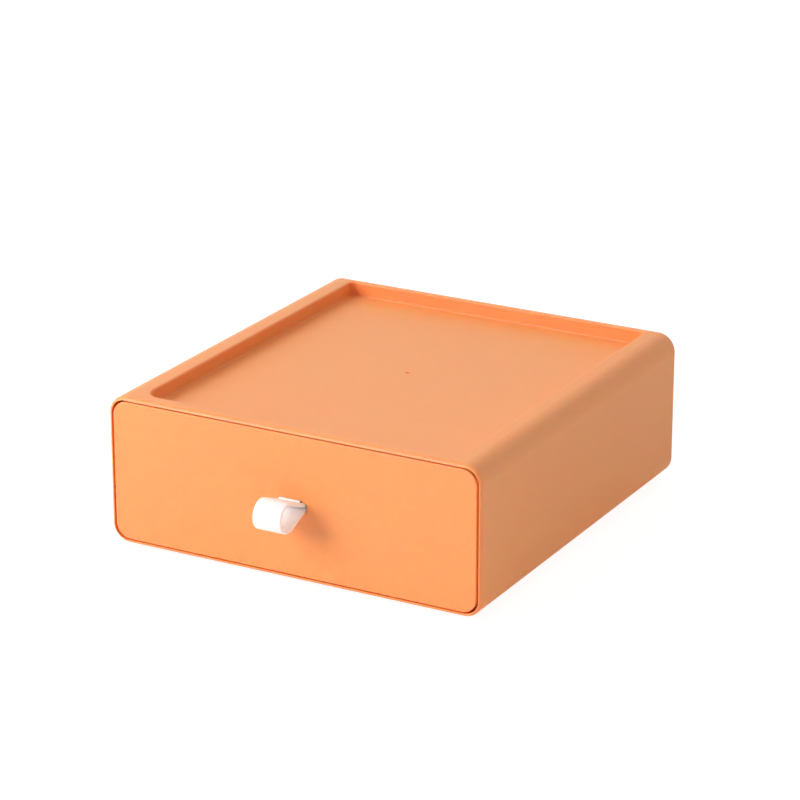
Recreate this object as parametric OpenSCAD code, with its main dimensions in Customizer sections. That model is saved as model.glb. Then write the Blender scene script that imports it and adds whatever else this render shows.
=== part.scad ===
// Stackable drawer box: a moulded case with a tray in its top, one sliding drawer and a soft loop pull.
// Millimetres. +X right seen from the front, the front faces -Y, +Z up.
// The origin is the centre of the case's footprint on the surface that it stands on.

/* [Case] */
// Width of the case
case_w = 240; // [200:1:300]
// Depth of the case, from the front rim to the back
case_d = 252; // [220:1:320]
// Height of the case without its feet
case_h = 89.5; // [80:0.5:130]
// Thickness of the case's top, bottom, back and tray
case_wall = 2; // [1.8:0.1:2.8]
// Thickness of the case's left and right walls
side_wall = 1.7; // [1.4:0.1:2.8]
// Radius of the four long edges, seen from the front
case_corner_r = 11; // [8:0.5:16]
// Radius of the outer edge round the front opening
front_edge_r = 2.5; // [2.1:0.1:3]
// Radius of the edge round the back
back_edge_r = 1.6; // [1:0.1:1.8]

/* [Top tray] */
// Depth of the tray below the rim
tray_depth = 9; // [6:0.5:12]
// Width of the rim at the left and right
tray_side_rim = 18.5; // [16:0.5:26]
// Width of the rim at the front
tray_front_rim = 9.7; // [8:0.1:14]
// Width of the rim at the back
tray_back_rim = 4; // [3.5:0.1:8]
// Radius of the tray's two front corners, in plan
tray_front_r = 9.5; // [6:0.5:14]
// Radius of the tray's two back corners, in plan
tray_back_r = 4; // [3.5:0.5:8]
// Rounding of the tray's lip
tray_lip_r = 1.2; // [0.6:0.1:1.6]
// Fillet at the foot of the tray's walls
tray_foot_r = 0.8; // [0.5:0.1:2.4]
// Diameter of the moulding gate's mark in the tray's floor
gate_d = 3; // [2:0.5:8]
// Distance of the gate's mark behind the middle of the tray
gate_back = 7.5; // [0:0.5:20]
// Depth of the gate's mark
gate_depth = 0.4; // [0.1:0.1:0.6]

/* [Feet] */
// Diameter of each moulded foot, which drops inside the tray of the box below
foot_d = 16; // [12:1:22]
// Height of each moulded foot below the case
foot_boss_h = 2; // [1.5:0.1:3]
// Play between a foot and the tray that it drops into
foot_play = 1; // [0.5:0.1:2]
// Diameter of each rubber pad
pad_d = 12; // [8:0.5:14]
// Thickness of each rubber pad
pad_t = 1.8; // [1.4:0.1:2.2]
// How far a pad stands out of its foot
pad_proud = 1; // [0.6:0.1:1.2]

/* [Drawer] */
// Gap at the left and right of the drawer's front
front_side_gap = 1.2; // [0.5:0.1:1.6]
// Gap above the drawer's front
front_top_gap = 0.9; // [0.4:0.1:1.4]
// Gap under the drawer's front
front_under_gap = 0.6; // [0.4:0.1:1.2]
// Thickness of the drawer's front
front_t = 2.4; // [2:0.1:3.4]
// Rounding of the front's edge
front_round_r = 0.8; // [0.4:0.1:1.2]
// Thickness of the drawer's other walls and its floor
drawer_wall = 1.8; // [1.4:0.1:2.4]
// How far the drawer's sides stand inside the ends of its front
tub_inset = 0.4; // [0.2:0.1:1.2]
// Gap behind the closed drawer
back_gap = 0.4; // [0.3:0.1:1]
// Radius of the drawer's upright corners, outside
drawer_corner_r = 10; // [9.6:0.1:14]
// Radius along the drawer's bottom edges, outside
drawer_bottom_r = 9; // [7:0.5:9.4]
// Rounding of the drawer's top edge
drawer_lip_r = 0.7; // [0.3:0.1:0.8]

/* [Slide] */
// How far the drawer opens before its stop
drawer_travel = 190; // [120:1:200]
// Distance of each slide rail from the middle
rail_x = 80; // [40:1:90]
// Width of a slide rail
rail_w = 4; // [2:0.5:8]
// Height of a slide rail above the case's floor
rail_h = 1; // [0.6:0.1:2]
// Distance of the rails' front ends behind the drawer's front
rail_setback = 1; // [0.5:0.5:10]
// Running gap between the drawer and what guides or stops it
run_gap = 0.3; // [0.2:0.05:0.5]
// Width of the stop on the drawer's back
stop_w = 40; // [20:1:80]
// Depth of the stop bead under the tray
bead_h = 1.8; // [1.2:0.1:2.4]
// Length of the stop bead's lead-in ramp
bead_len = 6; // [3:0.5:12]

/* [Pull] */
// Width of the strap
strap_w = 18; // [12:0.5:30]
// Thickness of the strap
strap_t = 2.1; // [1.2:0.1:2.6]
// Outer radius of the loop's round end
loop_r = 9; // [7:0.5:12]
// How far the loop stands out of the front
loop_reach = 27.6; // [22:0.1:36]
// Height of the loop's round end above its root
loop_rise = 0.5; // [-2:0.1:2]
// How far the strap's inner end is wider than the strap, on each side
head_side = 3; // [2:0.5:5]
// How far the strap's inner end hangs below the slot
head_drop = 2.4; // [1.5:0.1:4]
// Thickness of the strap's inner end
head_t = 2.2; // [1.5:0.1:4]
// Width of the retainer's tongue
tongue_w = 12.8; // [8:0.2:16]
// Thickness of the retainer's tongue
tongue_t = 1.3; // [1:0.1:2]
// How far the tongue stands out of the front
tongue_proud = 0.3; // [0.2:0.1:1]
// Gap between the tongue and the strap under it
tongue_gap = 0.1; // [0.1:0.05:0.3]
// Width of the retainer's flange
flange_w = 17; // [14:0.5:24]
// Height of the retainer's flange
flange_h = 6; // [4:0.5:10]
// Thickness of the retainer's flange
flange_t = 1.8; // [1.2:0.1:3]
// Clearance of the slot above the tongue and under the strap
slot_gap = 0.3; // [0.15:0.05:0.5]
// Clearance of the slot at the sides of the strap and the tongue
slot_side_gap = 1.5; // [0.3:0.1:1.8]

/* [Hidden] */

$fn = 96;
over = 0.1;           // overlap of solids that are fused, and overrun of cuts
margin = 1;           // how far a hollow or a cutting block runs past what it opens
axis_gap = 0.2;       // how far a swept side stays off the axis of its corners
case_colour = [0.95, 0.60, 0.35];
pull_colour = [0.96, 0.95, 0.93];
pad_colour = [0.85, 0.83, 0.80];

foot_h = foot_boss_h + pad_proud;
front_y = -case_d / 2;
back_y = case_d / 2;
case_top = foot_h + case_h;

case_mid_z = foot_h + case_h / 2;
case_band = case_corner_r - axis_gap;

// the room inside the case
room_w = case_w - 2 * side_wall;
room_h = case_h - 2 * case_wall;
room_back_y = back_y - case_wall;
room_floor = foot_h + case_wall;
room_top = case_top - case_wall;
room_corner_r = case_corner_r - case_wall;

// the tray in the top
tray_x = case_w / 2 - tray_side_rim;
tray_front_y = front_y + tray_front_rim;
tray_back_y = back_y - tray_back_rim;
tray_mid_y = (tray_front_y + tray_back_y) / 2;
tray_floor = case_top - tray_depth;
tray_under = tray_floor - case_wall;
tray_band = tray_foot_r + axis_gap;

// the feet stand just inside the outline of the tray below
foot_x = tray_x - foot_play - foot_d / 2;
foot_front_y = tray_front_y + foot_play + foot_d / 2;
foot_back_y = tray_back_y - foot_play - foot_d / 2;
pad_socket_d = pad_d + 2 * run_gap;

// the drawer
front_w = room_w - 2 * front_side_gap;
front_h = room_h - front_under_gap - front_top_gap;
front_mid_z = (room_floor + front_under_gap + room_top - front_top_gap) / 2;
front_corner_r = room_corner_r;
front_band = front_corner_r / 2;
front_back_y = front_y + front_t;
tub_x = front_w / 2 - tub_inset;
tub_back_y = room_back_y - back_gap;
tub_under = room_floor + rail_h + run_gap;
tub_floor = tub_under + drawer_wall;
tub_band = drawer_corner_r - axis_gap;
inner_x = tub_x - drawer_wall;
inner_back_y = tub_back_y - drawer_wall;
inner_corner_r = drawer_corner_r - drawer_wall;
inner_bottom_r = drawer_bottom_r - drawer_wall;
inner_band = inner_corner_r - axis_gap;

// the stop: a tab on the drawer's back meets a bead under the tray
bead_under = tray_under - bead_h;
tub_top = bead_under - run_gap;
tab_top = tray_under - run_gap;
bead_back_y = inner_back_y - drawer_travel - run_gap;
rail_front_y = front_back_y + rail_setback;

// the pull, its root level with the front's middle
root_mid_z = front_mid_z;
tail_top = root_mid_z + strap_t;
tail_under = root_mid_z - strap_t;
head_front_y = front_back_y + run_gap;
loop_mid = [front_y - loop_reach + loop_r, root_mid_z + loop_rise];

// the loop's two runs leave the tail just inside the slot, and touch the bend at these angles
root_in = 0.2;
root_top = [front_y + root_in, tail_top];
root_under = [front_y + root_in, tail_under];
top_angle = touch_angle(root_top, loop_mid, loop_r, 1);
under_angle = touch_angle(root_under, loop_mid, loop_r, -1);
root_lap = 1.5;       // how far the runs go on inside the tail
lap = 0.5;            // how far they go on inside the bend
seam = 0.05;          // how much thinner than the bend they are, on each face

// the tongue clears the upper run
tongue_under = tail_top + tongue_gap + (tongue_proud + root_in) / tan(top_angle);

// the angle, seen from c, of the point where a line from p touches the circle of radius r round c
function touch_angle(p, c, r, side) =
    let (v = p - c) atan2(v[1], v[0]) + side * acos(r / norm(v));

// the length of that line
function touch_length(p, c, r) = sqrt(pow(norm(p - c), 2) - r * r);

// ---- outlines ----

// a rectangle with its own corner radius at each end of Y
module outline(x, y0, y1, r0, r1) {
    translate([-x, y0 + r0]) square([2 * x, y1 - y0 - r0 - r1]);
    translate([-x + r0, y0]) square([2 * (x - r0), r0 + over]);
    translate([-x + r1, y1 - r1 - over]) square([2 * (x - r1), r1 + over]);
    for (side = [-1, 1]) {
        translate([side * (x - r0), y0 + r0]) circle(r0);
        translate([side * (x - r1), y1 - r1]) circle(r1);
    }
}

// what a rounding of radius r takes off the corner at the origin, which points to +X +Y
module corner_waste(r) {
    difference() {
        translate([-r, -r]) square(r + over);
        translate([-r, -r]) circle(r);
    }
}

// ---- sweeps round an outline: a section's x is the distance outside the outline, its y is height ----

module straight_run(len) {
    translate([0, len, 0]) rotate([90, 0, 0]) linear_extrude(len) children();
}

module corner_run(r) {
    rotate_extrude(angle = 90) translate([r, 0]) children();
}

module sweep(x, y0, y1, r0, r1) {
    translate([x, y0 + r0, 0]) straight_run(y1 - y0 - r0 - r1) children();
    translate([x - r1, y1, 0]) rotate([0, 0, 90]) straight_run(2 * (x - r1)) children();
    translate([-x, y1 - r1, 0]) rotate([0, 0, 180]) straight_run(y1 - y0 - r0 - r1) children();
    translate([-x + r0, y0, 0]) rotate([0, 0, 270]) straight_run(2 * (x - r0)) children();
    translate([x - r1, y1 - r1, 0]) corner_run(r1) children();
    translate([-x + r1, y1 - r1, 0]) rotate([0, 0, 90]) corner_run(r1) children();
    translate([-x + r0, y0 + r0, 0]) rotate([0, 0, 180]) corner_run(r0) children();
    translate([x - r0, y0 + r0, 0]) rotate([0, 0, 270]) corner_run(r0) children();
}

// a block whose sides have the section that is given, band wide, with a plain middle from z0 to z1
module moulded_block(x, y0, y1, r0, r1, band, z0, z1) {
    sweep(x, y0, y1, r0, r1) children();
    inset = band - over;
    translate([0, 0, z0]) linear_extrude(z1 - z0)
        outline(x - inset, y0 + inset, y1 - inset, r0 - inset, r1 - inset);
}

// ---- sections ----

// a hollow's side: filleted foot at z0, lip flared by a rounding at z1, open above
module hollow_section(band, z0, z1, foot_r, lip_r) {
    difference() {
        translate([-band, z0]) square([band, z1 - z0 + margin]);
        translate([0, z0]) mirror([0, 1]) corner_waste(foot_r);
    }
    translate([0, z1]) difference() {
        translate([-over, -lip_r]) square([lip_r + over, lip_r + margin]);
        translate([lip_r, -lip_r]) circle(lip_r);
    }
}

// a wall or block's side with a rounded edge at the top and another at the bottom
module edge_section(band, z0, z1, low_r, high_r) {
    difference() {
        translate([-band, z0]) square([band, z1 - z0]);
        if (low_r > 0) translate([0, z0]) mirror([0, 1]) corner_waste(low_r);
        if (high_r > 0) translate([0, z1]) corner_waste(high_r);
    }
}

// turns a piece drawn lying on its back so that its z points to the front
module face_front(z) {
    translate([0, 0, z]) rotate([90, 0, 0]) children();
}

// ---- case ----

module case_tube() {
    face_front(case_mid_z) difference() {
        moulded_block(case_w / 2, -case_h / 2, case_h / 2, case_corner_r, case_corner_r,
            case_band, -back_y, -front_y)
            edge_section(case_band, -back_y, -front_y, back_edge_r, front_edge_r);
        translate([0, 0, -room_back_y]) linear_extrude(case_d)
            outline(room_w / 2, -room_h / 2, room_h / 2, room_corner_r, room_corner_r);
    }
}

module tray_pan() {
    translate([0, 0, tray_under]) linear_extrude(case_top - tray_under - case_wall / 2)
        outline(tray_x + case_wall, tray_front_y - case_wall, back_y - case_wall / 2,
            tray_front_r + case_wall, tray_back_r + case_wall);
}

module tray_hollow() {
    moulded_block(tray_x, tray_front_y, tray_back_y, tray_front_r, tray_back_r,
        tray_band, tray_floor, case_top + margin)
        hollow_section(tray_band, tray_floor, case_top, tray_foot_r, tray_lip_r);
    translate([0, tray_mid_y + gate_back, tray_floor - gate_depth])
        cylinder(d = gate_d, h = gate_depth + over);
}

module stop_bead() {
    translate([-stop_w / 2, bead_back_y, tray_under]) rotate([90, 0, 90]) linear_extrude(stop_w)
        polygon([[0, over], [0, -bead_h], [-bead_h / 2, -bead_h], [-bead_len, over]]);
}

module slide_rail() {
    translate([-rail_w / 2, rail_front_y, room_floor - over])
        cube([rail_w, room_back_y - rail_front_y + over, rail_h + over]);
}

module foot_boss() {
    difference() {
        translate([0, 0, pad_proud]) cylinder(d = foot_d, h = foot_boss_h + over);
        translate([0, 0, pad_proud - over]) cylinder(d = pad_socket_d, h = pad_t - pad_proud + over);
    }
}

module at_feet() {
    for (x = [-foot_x, foot_x], y = [foot_front_y, foot_back_y]) translate([x, y, 0]) children();
}

module outer_case() {
    color(case_colour) {
        difference() {
            union() {
                case_tube();
                tray_pan();
            }
            tray_hollow();
        }
        stop_bead();
        for (side = [-1, 1]) translate([side * rail_x, 0, 0]) slide_rail();
        at_feet() foot_boss();
    }
}

module foot_pad(x, y) {
    color(pad_colour) translate([x, y, 0]) cylinder(d = pad_d, h = pad_t);
}

// ---- drawer ----

module drawer_front() {
    face_front(front_mid_z)
        moulded_block(front_w / 2, -front_h / 2, front_h / 2, front_corner_r, front_corner_r,
            front_band, -front_back_y, -front_y)
            edge_section(front_band, -front_back_y, -front_y, 0, front_round_r);
}

// the tub runs on past the front, where it is cut off square
module drawer_tub() {
    run_on = drawer_corner_r + margin;
    difference() {
        moulded_block(tub_x, front_y - run_on, tub_back_y, drawer_corner_r, drawer_corner_r,
            tub_band, tub_under, tub_top)
            edge_section(tub_band, tub_under, tub_top, drawer_bottom_r, drawer_lip_r);
        translate([-tub_x - margin, front_y - run_on - margin, tub_under - margin])
            cube([2 * (tub_x + margin), run_on + margin + front_t / 2, tub_top - tub_under + 2 * margin]);
    }
}

module drawer_hollow() {
    moulded_block(inner_x, front_back_y, inner_back_y, inner_corner_r, inner_corner_r,
        inner_band, tub_floor, tub_top + margin)
        hollow_section(inner_band, tub_floor, tub_top, inner_bottom_r, drawer_lip_r);
}

module stop_tab() {
    translate([-stop_w / 2, inner_back_y, tub_top - 2 * drawer_lip_r])
        cube([stop_w, drawer_wall, tab_top - tub_top + 2 * drawer_lip_r]);
}

module strap_slot() {
    cut_t = front_t + 2 * over;
    translate([-strap_w / 2 - slot_side_gap, front_y - over, tail_under - slot_gap])
        cube([strap_w + 2 * slot_side_gap, cut_t, 2 * (strap_t + slot_gap)]);
    translate([-tongue_w / 2 - slot_side_gap, front_y - over, tail_top])
        cube([tongue_w + 2 * slot_side_gap, cut_t, tongue_under - tail_top + tongue_t + slot_gap]);
}

module drawer() {
    color(case_colour) {
        difference() {
            union() {
                drawer_front();
                drawer_tub();
            }
            drawer_hollow();
            strap_slot();
        }
        stop_tab();
    }
}

// ---- pull ----

// puts a drawing of the side view, x towards the back and y up, on the loop's middle line
module at_loop(angle) {
    translate([0, loop_mid[0], loop_mid[1]]) rotate([90, 0, 90]) rotate([0, 0, angle]) children();
}

module loop_bend(w) {
    at_loop(top_angle) rotate_extrude(angle = 360 - top_angle + under_angle)
        translate([loop_r - strap_t, -w / 2]) square([strap_t, w]);
}

// one of the two straight runs, from inside the bend at start to inside the tail at end
module loop_run(w, angle, start, end) {
    at_loop(angle) translate([loop_r - strap_t + seam, min(start, end), -w / 2])
        cube([strap_t - 2 * seam, abs(end - start), w]);
}

// the pieces are drawn too wide, each by its own amount, and trimmed to the strap's width together
module loop_and_tail() {
    intersection() {
        union() {
            loop_bend(strap_w + over);
            loop_run(strap_w + 2 * over, top_angle,
                lap, -touch_length(root_top, loop_mid, loop_r) - root_lap);
            loop_run(strap_w + 2 * over, under_angle,
                -lap, touch_length(root_under, loop_mid, loop_r) + root_lap);
            translate([-strap_w / 2 - 2 * over, front_y, tail_under])
                cube([strap_w + 4 * over, head_front_y - front_y + head_t / 2, 2 * strap_t]);
        }
        translate([-strap_w / 2, front_y - 2 * loop_reach, 0]) cube([strap_w, case_d, case_top]);
    }
}

module pull_strap() {
    color(pull_colour) {
        loop_and_tail();
        translate([-strap_w / 2 - head_side, head_front_y, tail_under - head_drop])
            cube([strap_w + 2 * head_side, head_t, 2 * strap_t + head_drop]);
    }
}

module strap_retainer() {
    color(pull_colour) {
        translate([-tongue_w / 2, front_y - tongue_proud, tongue_under])
            cube([tongue_w, tongue_proud + front_t + flange_t, tongue_t]);
        translate([-flange_w / 2, front_back_y, tongue_under])
            cube([flange_w, flange_t, flange_h]);
    }
}

outer_case();
drawer();
pull_strap();
strap_retainer();
foot_pad(-foot_x, foot_front_y);  // foot_pad_front_left
foot_pad(foot_x, foot_front_y);  // foot_pad_front_right
foot_pad(-foot_x, foot_back_y);  // foot_pad_back_left
foot_pad(foot_x, foot_back_y);  // foot_pad_back_right
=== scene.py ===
# Looks of the stackable drawer box: materials, the soft pull strap, studio floor, lamps and camera.
# Metres, in the CAD's frame: +X right seen from the front, the front faces -Y, +Z up.
import math

import bmesh
import bpy
from mathutils import Matrix, Vector


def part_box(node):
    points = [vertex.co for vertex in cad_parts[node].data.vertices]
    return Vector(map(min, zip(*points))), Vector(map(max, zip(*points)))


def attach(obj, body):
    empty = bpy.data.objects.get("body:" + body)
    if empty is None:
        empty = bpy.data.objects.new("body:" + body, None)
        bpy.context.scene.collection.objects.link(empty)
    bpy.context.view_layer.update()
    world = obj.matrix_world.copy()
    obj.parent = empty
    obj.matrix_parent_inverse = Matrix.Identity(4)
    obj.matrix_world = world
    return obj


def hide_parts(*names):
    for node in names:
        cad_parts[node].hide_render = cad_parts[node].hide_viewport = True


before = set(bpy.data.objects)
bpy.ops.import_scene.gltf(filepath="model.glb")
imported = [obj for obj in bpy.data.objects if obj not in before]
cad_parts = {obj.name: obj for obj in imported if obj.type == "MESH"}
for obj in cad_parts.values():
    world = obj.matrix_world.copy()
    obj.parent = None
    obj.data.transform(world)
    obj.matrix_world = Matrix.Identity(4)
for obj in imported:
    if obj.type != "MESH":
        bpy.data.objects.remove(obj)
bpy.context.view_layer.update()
scene = bpy.context.scene

# ---- colours, linear ----

ORANGE = (0.970, 0.345, 0.111, 1.0)
ORANGE_DEEP = (0.960, 0.333, 0.103, 1.0)
WHITE_STRAP = (0.930, 0.927, 0.919, 1.0)
WHITE_STRAP_WARM = (0.920, 0.914, 0.904, 1.0)
WHITE_CLIP = (0.905, 0.897, 0.882, 1.0)
WHITE_CLIP_SHADE = (0.885, 0.873, 0.853, 1.0)
PAD = (0.720, 0.705, 0.680, 1.0)
PAD_DARK = (0.660, 0.645, 0.620, 1.0)
WHITE = (1.0, 1.0, 1.0, 1.0)

# ---- moulded plastic ----

PLASTIC_IOR = 1.49
NOISE_LOW = 0.3        # the noise's value at which a blend over it starts
NOISE_HIGH = 0.7       # and at which it ends
ROUGH_SWING = 0.04     # how far the roughness swings each way with the grain
GRAIN_HEIGHT = 0.00004
PEEL_FINER = 12        # how many times finer the orange peel is than the colour drift
PEEL_STRENGTH = 0.05
PEEL_HEIGHT = 0.0004

# how soft a plastic is to light: share, depth in metres, and reach of red, green and blue
SOFT_PLASTIC = (1.0, 0.0020, (1.0, 0.30, 0.10))
SOFT_STRAP = (1.0, 0.0055, (1.0, 0.95, 0.90))

# ---- node helpers ----


def new_material(name):
    material = bpy.data.materials.new(name)
    material.use_nodes = True
    tree = material.node_tree
    tree.nodes.clear()
    return material, tree


def add(tree, kind, **values):
    """A node of this kind, with its properties and inputs set by name."""
    node = tree.nodes.new(kind)
    for name, value in values.items():
        if hasattr(node, name):
            setattr(node, name, value)
        else:
            node.inputs[name.replace("_", " ")].default_value = value
    return node


def link(tree, a, out, b, into):
    tree.links.new(a.outputs[out], b.inputs[into])


def ramp(tree, source, out, low, high):
    """A colour ramp over a noise's value; low and high are (position, colour)."""
    node = tree.nodes.new("ShaderNodeValToRGB")
    for element, (position, colour) in zip(node.color_ramp.elements, (low, high)):
        element.position = position
        element.color = colour
    link(tree, source, out, node, "Fac")
    return node


def moulded_plastic(name, light, dark, rough, grain, grain_strength, drift_scale, soft=None):
    """Injection-moulded plastic: a slow drift of colour, a fine grain from the tool, a faint orange peel."""
    material, tree = new_material(name)
    out = add(tree, "ShaderNodeOutputMaterial")
    bsdf = add(tree, "ShaderNodeBsdfPrincipled", IOR=PLASTIC_IOR)
    link(tree, bsdf, "BSDF", out, "Surface")
    place = add(tree, "ShaderNodeTexCoord")

    drift = add(tree, "ShaderNodeTexNoise", Scale=drift_scale, Detail=2.0, Roughness=0.5)
    link(tree, place, "Object", drift, "Vector")
    colour = ramp(tree, drift, "Fac", (NOISE_LOW, dark), (NOISE_HIGH, light))
    link(tree, colour, "Color", bsdf, "Base Color")

    fine = add(tree, "ShaderNodeTexNoise", Scale=grain, Detail=3.0, Roughness=0.6)
    link(tree, place, "Object", fine, "Vector")
    gloss = add(tree, "ShaderNodeMapRange")
    gloss.inputs["From Min"].default_value = NOISE_LOW
    gloss.inputs["From Max"].default_value = NOISE_HIGH
    gloss.inputs["To Min"].default_value = rough - ROUGH_SWING
    gloss.inputs["To Max"].default_value = rough + ROUGH_SWING
    link(tree, fine, "Fac", gloss, "Value")
    link(tree, gloss, "Result", bsdf, "Roughness")

    peel = add(tree, "ShaderNodeTexNoise", Scale=drift_scale * PEEL_FINER, Detail=1.0, Roughness=0.5)
    link(tree, place, "Object", peel, "Vector")
    wave = add(tree, "ShaderNodeBump", Strength=PEEL_STRENGTH, Distance=PEEL_HEIGHT)
    link(tree, peel, "Fac", wave, "Height")
    bump = add(tree, "ShaderNodeBump", Strength=grain_strength, Distance=GRAIN_HEIGHT)
    link(tree, fine, "Fac", bump, "Height")
    link(tree, wave, "Normal", bump, "Normal")
    link(tree, bump, "Normal", bsdf, "Normal")

    if soft:
        share, depth, reach = soft
        bsdf.inputs["Subsurface Weight"].default_value = share
        bsdf.inputs["Subsurface Scale"].default_value = depth
        bsdf.inputs["Subsurface Radius"].default_value = reach
    return material


case_plastic = moulded_plastic("case_plastic", ORANGE, ORANGE_DEEP, rough=0.46, grain=2600,
                               grain_strength=0.35, drift_scale=9.0, soft=SOFT_PLASTIC)
drawer_plastic = moulded_plastic("drawer_plastic", ORANGE, ORANGE_DEEP, rough=0.44, grain=2600,
                                 grain_strength=0.35, drift_scale=7.0, soft=SOFT_PLASTIC)
strap_soft = moulded_plastic("strap_soft", WHITE_STRAP, WHITE_STRAP_WARM, rough=0.42, grain=1800,
                             grain_strength=0.25, drift_scale=60.0, soft=SOFT_STRAP)
clip_plastic = moulded_plastic("clip_plastic", WHITE_CLIP, WHITE_CLIP_SHADE, rough=0.38, grain=2400,
                               grain_strength=0.25, drift_scale=60.0)
pad_rubber = moulded_plastic("pad_rubber", PAD, PAD_DARK, rough=0.62, grain=1500,
                             grain_strength=0.5, drift_scale=90.0)


def dress(node, material):
    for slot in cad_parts[node].material_slots:
        slot.material = material


dress("outer_case", case_plastic)
dress("drawer", drawer_plastic)
for place in ("front_left", "front_right", "back_left", "back_right"):
    dress("foot_pad_" + place, pad_rubber)

# ---- the pull: a soft strap folded into a loop, its head behind the front, and the clip above it ----

STRAP_T = 0.0021       # thickness of the strap
STRAP_W = 0.018        # its width
STRAP_EDGE = 0.0006    # rounding of its edges
STRAP_ASIDE = 0.0008   # how far right of the middle it lies in its slot
STRAP_RISE = 0.0002    # how far its upper run lies above a tight fold, against the clip
ROOT_IN = 0.0008       # how far behind the drawer's front its two runs part
LOOP_R = 0.009         # outer radius of the loop's round end
LOOP_SAG_R = 0.0055    # radius of the middle line where its underside turns up to the slot
LOOP_SAG = 0.0022      # how far its underside runs back before that
HEAD_T = 0.0022        # thickness of the head behind the front
HEAD_DROP = 0.0024     # how far the head hangs below the slot
HEAD_ROUND = 0.0007    # rounding of the head's edges
CLIP_LEFT = 0.0075     # how far the clip's tongue reaches left of the middle
CLIP_RIGHT = 0.0064    # how far it reaches right
CLIP_T = 0.0013        # thickness of the clip's tongue
CLIP_FLANGE_T = 0.0018  # thickness of the clip's flange behind the front
CLIP_ROUND = 0.00022   # rounding of the clip's edges
PATH_STEP = 0.0004     # length of each piece of the strap's path
PATH_SOFTNESS = 16     # rounds of smoothing where the strap leaves its slot


def mesh_object(name, source, material, body, slot, *nodes):
    """A smooth-shaded piece from a bmesh, which rides on a body in place of CAD nodes."""
    mesh = bpy.data.meshes.new(name)
    bmesh.ops.recalc_face_normals(source, faces=source.faces)
    source.to_mesh(mesh)
    source.free()
    mesh.materials.append(material)
    mesh.shade_smooth()
    obj = bpy.data.objects.new(name, mesh)
    scene.collection.objects.link(obj)
    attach(obj, body)
    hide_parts(*nodes)
    return obj


ROUND_PROFILE = 0.5    # a bevel's profile at which its rounding is circular


def rounded_box(bm, low, high, radius, segments=3):
    """A box between two corners with all its edges rounded."""
    middle = Vector([(a + b) / 2 for a, b in zip(low, high)])
    size = [b - a for a, b in zip(low, high)]
    place = Matrix.Translation(middle) @ Matrix.Diagonal(size + [1.0])
    made = bmesh.ops.create_cube(bm, size=1.0, matrix=place)
    edges = {e for v in made["verts"] for e in v.link_edges}
    bmesh.ops.bevel(bm, geom=list(edges), offset=radius, segments=segments,
                    profile=ROUND_PROFILE, affect="EDGES")


def band_section(width, thickness, radius, steps=4):
    """A rounded rectangle, as points (across the band, through its thickness)."""
    points = []
    for across, through, start in ((1, 1, 0), (-1, 1, 90), (-1, -1, 180), (1, -1, 270)):
        for i in range(steps + 1):
            turn = math.radians(start + 90 * i / steps)
            points.append((across * (width / 2 - radius) + radius * math.cos(turn),
                           through * (thickness / 2 - radius) + radius * math.sin(turn)))
    return points


def touch_angle(p, centre, radius, side):
    """The angle, seen from centre, of the point where a line from p touches the circle round centre."""
    v = p - centre
    return math.atan2(v.y, v.x) + side * math.acos(radius / v.length)


def arc(centre, radius, start, end, steps=60):
    """Points on a circle's arc, both ends among them."""
    turns = [start + (end - start) * i / steps for i in range(steps + 1)]
    return [centre + radius * Vector((math.cos(a), math.sin(a))) for a in turns]


def even_path(corners, step):
    """Points at equal steps along a chain of points."""
    reach = [0.0]
    for a, b in zip(corners, corners[1:]):
        reach.append(reach[-1] + (b - a).length)
    count = round(reach[-1] / step)
    points = []
    k = 0
    for i in range(count + 1):
        at = reach[-1] * i / count
        while k < len(reach) - 2 and reach[k + 1] < at:
            k += 1
        share = (at - reach[k]) / (reach[k + 1] - reach[k])
        points.append(corners[k].lerp(corners[k + 1], share))
    return points


def smoothed(points, rounds):
    """Softens the corners of an evenly spaced path, its two ends staying put."""
    for _ in range(rounds):
        inner = [(a + 2 * b + c) / 4 for a, b, c in zip(points, points[1:], points[2:])]
        points = [points[0]] + inner + [points[-1]]
    return points


def loop_path(front_y, loop_mid_z, root_z, panel_y, inner_y):
    """The strap's middle line in the side view, (y, z): out of the slot, round the loop and back in."""
    middle = Vector((front_y + LOOP_R, loop_mid_z))
    radius = LOOP_R - STRAP_T / 2
    top = Vector((panel_y + ROOT_IN, root_z + STRAP_T / 2 + STRAP_RISE))
    under = Vector((panel_y + ROOT_IN, root_z - STRAP_T / 2))
    back = middle + Vector((LOOP_SAG, LOOP_SAG_R - radius))
    first = touch_angle(top, middle, radius, 1)
    lowest = 1.5 * math.pi
    last = touch_angle(under, back, LOOP_SAG_R, -1) + 2 * math.pi
    bend = arc(middle, radius, first, lowest) + arc(back, LOOP_SAG_R, lowest, last)
    return [Vector((inner_y, top.y)), top] + bend + [under, Vector((inner_y, under.y))]


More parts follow.
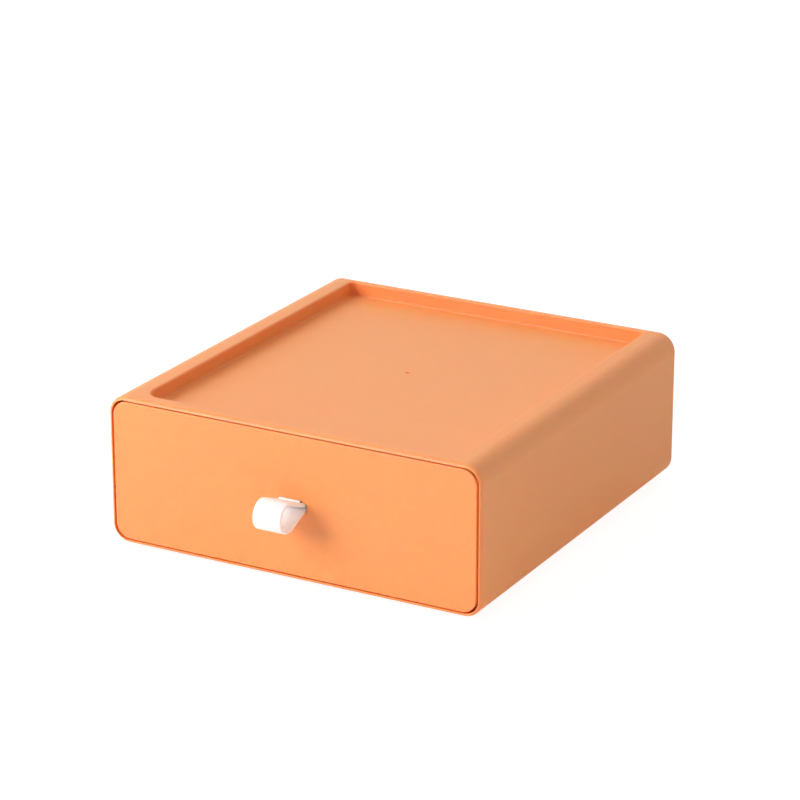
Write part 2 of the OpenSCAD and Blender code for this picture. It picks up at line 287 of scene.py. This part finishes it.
def pull_loop():
    """The strap's loop with its head. Its root lies at half the drawer's height."""
    low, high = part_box("pull_strap")
    panel_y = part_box("outer_case")[0].y
    root_z = sum(corner.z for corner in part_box("drawer")) / 2
    path = loop_path(low.y, low.z + LOOP_R, root_z, panel_y, high.y - HEAD_T / 2)
    path = smoothed(even_path(path, PATH_STEP), PATH_SOFTNESS)
    section = band_section(STRAP_W, STRAP_T, STRAP_EDGE)
    bm = bmesh.new()
    rings = []
    for i, p in enumerate(path):
        along = (path[min(i + 1, len(path) - 1)] - path[max(i - 1, 0)]).normalized()
        out = Vector((along.y, -along.x))
        ring = [(STRAP_ASIDE + x, p.x + t * out.x, p.y + t * out.y) for x, t in section]
        rings.append([bm.verts.new(point) for point in ring])
    for a, b in zip(rings, rings[1:]):
        for i in range(len(section)):
            j = (i + 1) % len(section)
            bm.faces.new((a[i], a[j], b[j], b[i]))
    bm.faces.new(rings[0])
    bm.faces.new(rings[-1][::-1])
    head_low = (low.x, high.y - HEAD_T, root_z - STRAP_T - HEAD_DROP)
    head_high = (high.x, high.y, root_z + STRAP_T)
    rounded_box(bm, head_low, head_high, HEAD_ROUND)
    return mesh_object("pull_loop", bm, strap_soft, "sliding_drawer", "strap", "pull_strap")


def retainer_clip():
    """The clip's tongue, which runs into its flange behind the drawer's front."""
    low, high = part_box("strap_retainer")
    bm = bmesh.new()
    tongue_high = (CLIP_RIGHT, high.y - CLIP_ROUND, low.z + CLIP_T)
    rounded_box(bm, (-CLIP_LEFT, low.y, low.z), tongue_high, CLIP_ROUND)
    rounded_box(bm, (low.x, high.y - CLIP_FLANGE_T, low.z), high, CLIP_ROUND)
    return mesh_object("retainer_clip", bm, clip_plastic, "sliding_drawer", "retainer", "strap_retainer")


pull_loop()
retainer_clip()

# ---- floor and backdrop ----

FLOOR_HALF = 6.0       # half the floor's width
FLOOR_COLOUR = 0.76    # grey of the floor, as the object's light meets it
FLOOR_LIGHT = 0.30     # soft light of the room that the floor gives back to the object; its gloss sees none
FLOOR_GLOW = 0.90      # share of the white floor in view that no shadow dims
FLOOR_DIMMED = 0.22    # grey of the rest of it, which the object's shadow dims


def grey(level):
    return (level, level, level, 1.0)


def seen_directly(tree, *more):
    """A node that gives 1 for rays from the camera or through the plastic, and for the kinds in more."""
    rays = add(tree, "ShaderNodeLightPath")
    last = rays
    out = "Is Camera Ray"
    for kind in ("Is Transmission Ray",) + more:
        either = add(tree, "ShaderNodeMath", operation="MAXIMUM")
        link(tree, last, out, either, 0)
        link(tree, rays, kind, either, 1)
        last = either
        out = "Value"
    return last


def added(tree, one, other):
    """The sum of two shaders."""
    total = add(tree, "ShaderNodeAddShader")
    link(tree, one, 0, total, 0)
    link(tree, other, 0, total, 1)
    return total


def chosen(tree, choice, otherwise, picked):
    """The shader picked where choice gives 1, and the other one elsewhere."""
    mix = add(tree, "ShaderNodeMixShader")
    link(tree, choice, "Value", mix, 0)
    link(tree, otherwise, 0, mix, 1)
    link(tree, picked, 0, mix, 2)
    return mix


def room_light(tree):
    """The floor's own soft light, with none of it for glossy rays."""
    rays = add(tree, "ShaderNodeLightPath")
    strength = add(tree, "ShaderNodeMath", operation="MULTIPLY_ADD")
    link(tree, rays, "Is Glossy Ray", strength, 0)
    strength.inputs[1].default_value = -FLOOR_LIGHT
    strength.inputs[2].default_value = FLOOR_LIGHT
    given = add(tree, "ShaderNodeEmission", Color=WHITE)
    link(tree, strength, "Value", given, "Strength")
    return given


def stage_material():
    """Pale to the light, and white to the eye except where the object's shadow falls."""
    material, tree = new_material("stage_pale")
    out = add(tree, "ShaderNodeOutputMaterial")
    pale = add(tree, "ShaderNodeBsdfDiffuse", Color=grey(FLOOR_COLOUR))
    lit = added(tree, pale, room_light(tree))
    glow = add(tree, "ShaderNodeEmission", Color=grey(FLOOR_GLOW))
    dimmed = add(tree, "ShaderNodeBsdfDiffuse", Color=grey(FLOOR_DIMMED))
    bright = added(tree, glow, dimmed)
    link(tree, chosen(tree, seen_directly(tree), lit, bright), "Shader", out, "Surface")
    return material


def floor():
    mesh = bpy.data.meshes.new("floor")
    half = FLOOR_HALF
    corners = [(-half, -half, 0), (half, -half, 0), (half, half, 0), (-half, half, 0)]
    mesh.from_pydata(corners, [], [(0, 1, 2, 3)])
    mesh.materials.append(stage_material())
    obj = bpy.data.objects.new("floor", mesh)
    scene.collection.objects.link(obj)


# ---- lamps ----

LAMP_AIM = Vector((0.0, 0.0, 0.05))


def studio_world(level, slope):
    """A soft light that changes with direction: level all round, and more or less of it along slope.
    The eye and the gloss see a white backdrop instead."""
    world = bpy.data.worlds.new("studio")
    scene.world = world
    world.use_nodes = True
    tree = world.node_tree
    tree.nodes.clear()
    out = add(tree, "ShaderNodeOutputWorld")
    place = add(tree, "ShaderNodeTexCoord")
    along = add(tree, "ShaderNodeVectorMath", operation="DOT_PRODUCT")
    link(tree, place, "Generated", along, 0)
    along.inputs[1].default_value = slope
    strength = add(tree, "ShaderNodeMath", operation="ADD", use_clamp=True)
    link(tree, along, "Value", strength, 0)
    strength.inputs[1].default_value = level
    soft = add(tree, "ShaderNodeBackground", Color=WHITE)
    link(tree, strength, "Value", soft, "Strength")
    white = add(tree, "ShaderNodeBackground", Color=WHITE, Strength=1.0)
    link(tree, chosen(tree, seen_directly(tree, "Is Glossy Ray"), soft, white), "Shader", out, "Surface")


def direction(azimuth, elevation):
    """The unit vector towards an azimuth, from the front and positive to the right, and an elevation."""
    flat = math.cos(elevation)
    return Vector((math.sin(azimuth) * flat, -math.cos(azimuth) * flat, math.sin(elevation)))


def softbox(name, azimuth, elevation, distance, size, power):
    """A square lamp that looks at the object, from a direction in degrees."""
    away = direction(math.radians(azimuth), math.radians(elevation))
    data = bpy.data.lights.new(name, "AREA")
    data.energy = power
    data.size = size
    obj = bpy.data.objects.new(name, data)
    scene.collection.objects.link(obj)
    obj.location = distance * away
    obj.rotation_euler = (LAMP_AIM - obj.location).to_track_quat("-Z", "Y").to_euler()


floor()
studio_world(level=0.24, slope=(0.0, 0.44, 0.56))
softbox("key", azimuth=-39, elevation=28, distance=2.2, size=1.3, power=45)

# ---- camera: the photograph's ----

FRAME_PIXELS = 800     # the photograph's width
FOCAL_PIXELS = 3247.753
SENSOR_WIDTH = 36.0
AZIMUTH = math.radians(28.872)
ELEVATION = math.radians(20.077)
DISTANCE = 1.906314    # from the point that the camera looks at
AIM = Vector((0.000367, 0.0, 0.069896))


def photo_camera():
    away = direction(AZIMUTH, ELEVATION)
    camera = bpy.data.objects.new("camera", bpy.data.cameras.new("camera"))
    scene.collection.objects.link(camera)
    camera.location = AIM + DISTANCE * away
    camera.rotation_euler = (-away).to_track_quat("-Z", "Y").to_euler()
    camera.data.sensor_width = SENSOR_WIDTH
    camera.data.lens = FOCAL_PIXELS / FRAME_PIXELS * SENSOR_WIDTH
    scene.camera = camera


photo_camera()
scene.view_settings.view_transform = "Standard"
